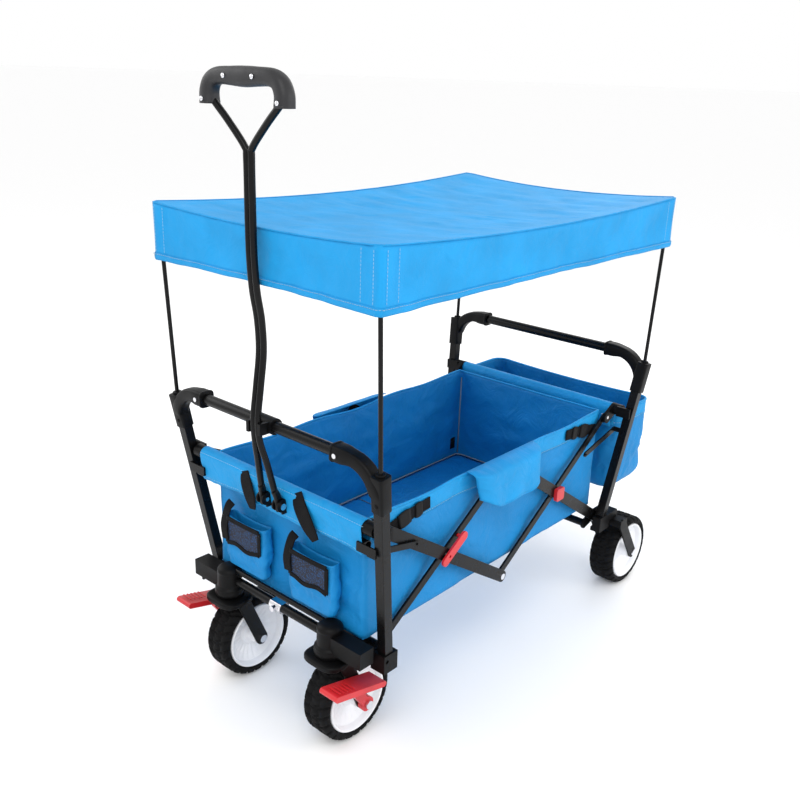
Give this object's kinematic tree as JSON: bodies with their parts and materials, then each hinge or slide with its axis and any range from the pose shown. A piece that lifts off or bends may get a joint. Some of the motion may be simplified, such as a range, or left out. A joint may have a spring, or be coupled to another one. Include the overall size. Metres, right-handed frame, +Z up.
{
  "type": "folding beach cart",
  "caption": "Folding beach cart with a fabric tub between two steel end frames, a rear bag, a canopy on poles, wide wheels and a forked pull handle.",
  "frame": {"origin": "on the ground, under the centre of the cart's overall box", "axes": "+Z up, +X to the cart's right seen from the front (handle) end at -Y"},
  "size_m": [0.584, 1.111, 1.231],
  "materials": {
    "steel": "black powder coat, satin",
    "plastic": "dark grey moulded",
    "chrome": "bright zinc",
    "red": "red moulded",
    "white": "white moulded rim",
    "tread": "matt, treaded",
    "tub_cloth": "woven polyester",
    "canopy_cloth": "thin woven polyester",
    "board": "pressed board, cloth covered"
  },
  "bodies": {
    "rear_frame": {"rear_posts": "steel", "rear_push_rail": "steel", "rear_corners": "plastic", "rear_corner_screws": "chrome", "rear_cross_tube": "steel", "rear_brackets": "plastic", "rear_forks": "plastic", "rear_axles": "chrome", "rear_poles": "steel", "rear_bag": "tub_cloth", "canopy": "canopy_cloth"},
    "rear_outer_links": {"rear_outer_links": "steel", "rear_link_pins": "chrome", "rear_lock_blocks": "red"},
    "rear_inner_links": {"rear_inner_links": "steel"},
    "rear_slider": {"rear_fabric_rail": "steel", "rear_sliders": "plastic", "rear_top_pins": "chrome", "tub": "tub_cloth", "floor_boards": "board"},
    "front_outer_links": {"front_outer_links": "steel", "front_link_pins": "chrome"},
    "front_inner_links": {"front_inner_links": "steel"},
    "front_slider": {"front_fabric_rail": "steel", "front_sliders": "plastic", "front_pockets": "tub_cloth"},
    "front_frame": {"front_posts": "steel", "front_push_rail": "steel", "front_corners": "plastic", "front_corner_screws": "chrome", "front_cross_bars": "steel", "front_brackets": "plastic", "caster_housings": "plastic", "front_poles": "steel", "front_mid_rail": "steel", "handle_brackets": "plastic", "handle_clip": "plastic", "bar_latch": "chrome", "front_bolts": "chrome"},
    "front_struts": {"front_struts": "steel"},
    "rear_struts": {"rear_struts": "steel"},
    "lock_lever_left": {"lock_lever_left": "red"},
    "lock_lever_right": {"lock_lever_right": "red"},
    "fork_left": {"front_fork_left": "plastic", "front_axle_left": "chrome"},
    "fork_right": {"front_fork_right": "plastic", "front_axle_right": "chrome"},
    "pedal_left": {"brake_pedal_left": "red"},
    "pedal_right": {"brake_pedal_right": "red"},
    "front_wheel_left": {"front_tyre_left": "tread", "front_rim_left": "white"},
    "front_wheel_right": {"front_tyre_right": "tread", "front_rim_right": "white"},
    "rear_wheel_left": {"rear_tyre_left": "tread", "rear_rim_left": "white"},
    "rear_wheel_right": {"rear_tyre_right": "tread", "rear_rim_right": "white"},
    "handle": {"handle_tube": "steel", "handle_legs": "steel", "handle_grip": "plastic"}
  },
  "joints": [
    {"name": "fold", "type": "hinge", "parent": "rear_frame", "child": "rear_outer_links", "pos_m": [0, 0.3505, 0.213], "axis": [-1, 0, 0], "range_deg": [0, 42], "deforming": ["canopy", "tub", "floor_boards", "front_pockets"]},
    {"name": "rear_cross", "type": "hinge", "parent": "rear_outer_links", "child": "rear_inner_links", "pos_m": [0, 0.152, 0.344], "axis": [1, 0, 0], "range_deg": [0, 84]},
    {"name": "rear_slide_pivot", "type": "hinge", "parent": "rear_inner_links", "child": "rear_slider", "pos_m": [0, 0.3505, 0.475], "axis": [-1, 0, 0], "range_deg": [0, 42]},
    {"name": "low_middle", "type": "hinge", "parent": "rear_inner_links", "child": "front_outer_links", "pos_m": [0, -0.0465, 0.213], "axis": [-1, 0, 0], "range_deg": [0, 84]},
    {"name": "front_cross", "type": "hinge", "parent": "front_outer_links", "child": "front_inner_links", "pos_m": [0, -0.245, 0.344], "axis": [1, 0, 0], "range_deg": [0, 84]},
    {"name": "front_slide_pivot", "type": "hinge", "parent": "front_outer_links", "child": "front_slider", "pos_m": [0, -0.4435, 0.475], "axis": [1, 0, 0], "range_deg": [0, 42]},
    {"name": "front_foot", "type": "hinge", "parent": "front_inner_links", "child": "front_frame", "pos_m": [0, -0.4435, 0.213], "axis": [-1, 0, 0], "range_deg": [0, 42]},
    {"name": "front_strut_foot", "type": "hinge", "parent": "front_frame", "child": "front_struts", "pos_m": [0, -0.4735, 0.44], "axis": [1, 0, 0], "range_deg": [0, 75.6]},
    {"name": "rear_strut_foot", "type": "hinge", "parent": "rear_frame", "child": "rear_struts", "pos_m": [0, 0.3805, 0.44], "axis": [-1, 0, 0], "range_deg": [0, 75.6]},
    {"name": "lock_left", "type": "hinge", "parent": "front_inner_links", "child": "lock_lever_left", "pos_m": [0, -0.245, 0.344], "axis": [-1, 0, 0], "range_deg": [0, 20]},
    {"name": "lock_right", "type": "hinge", "parent": "front_inner_links", "child": "lock_lever_right", "pos_m": [0, -0.245, 0.344], "axis": [-1, 0, 0], "range_deg": [0, 20]},
    {"name": "caster_left", "type": "hinge", "parent": "front_frame", "child": "fork_left", "pos_m": [-0.148, -0.4845, 0.203], "axis": [0, 0, 1], "continuous": true},
    {"name": "front_spin_left", "type": "hinge", "parent": "fork_left", "child": "front_wheel_left", "pos_m": [-0.148, -0.438, 0.09], "axis": [1, 0, 0], "continuous": true},
    {"name": "brake_left", "type": "hinge", "parent": "fork_left", "child": "pedal_left", "pos_m": [-0.148, -0.438, 0.09], "axis": [1, 0, 0], "range_deg": [-2, 10]},
    {"name": "rear_spin_left", "type": "hinge", "parent": "rear_frame", "child": "rear_wheel_left", "pos_m": [-0.238, 0.4655, 0.09], "axis": [1, 0, 0], "continuous": true},
    {"name": "caster_right", "type": "hinge", "parent": "front_frame", "child": "fork_right", "pos_m": [0.148, -0.4845, 0.203], "axis": [0, 0, 1], "continuous": true},
    {"name": "front_spin_right", "type": "hinge", "parent": "fork_right", "child": "front_wheel_right", "pos_m": [0.148, -0.438, 0.09], "axis": [1, 0, 0], "continuous": true},
    {"name": "brake_right", "type": "hinge", "parent": "fork_right", "child": "pedal_right", "pos_m": [0.148, -0.438, 0.09], "axis": [1, 0, 0], "range_deg": [-2, 10]},
    {"name": "rear_spin_right", "type": "hinge", "parent": "rear_frame", "child": "rear_wheel_right", "pos_m": [0.238, 0.4655, 0.09], "axis": [1, 0, 0], "continuous": true},
    {"name": "handle", "type": "hinge", "parent": "front_frame", "child": "handle", "pos_m": [0, -0.4945, 0.467], "axis": [1, 0, 0], "range_deg": [0, 95]}
  ],
  "couplings": [
    {"joint": "rear_cross", "follows": "fold", "ratio": 2},
    {"joint": "rear_slide_pivot", "follows": "fold", "ratio": 1},
    {"joint": "low_middle", "follows": "fold", "ratio": 2},
    {"joint": "front_cross", "follows": "fold", "ratio": 2},
    {"joint": "front_slide_pivot", "follows": "fold", "ratio": 1},
    {"joint": "front_foot", "follows": "fold", "ratio": 1},
    {"joint": "front_strut_foot", "follows": "fold", "ratio": 1.8},
    {"joint": "rear_strut_foot", "follows": "fold", "ratio": 1.8}
  ]
}
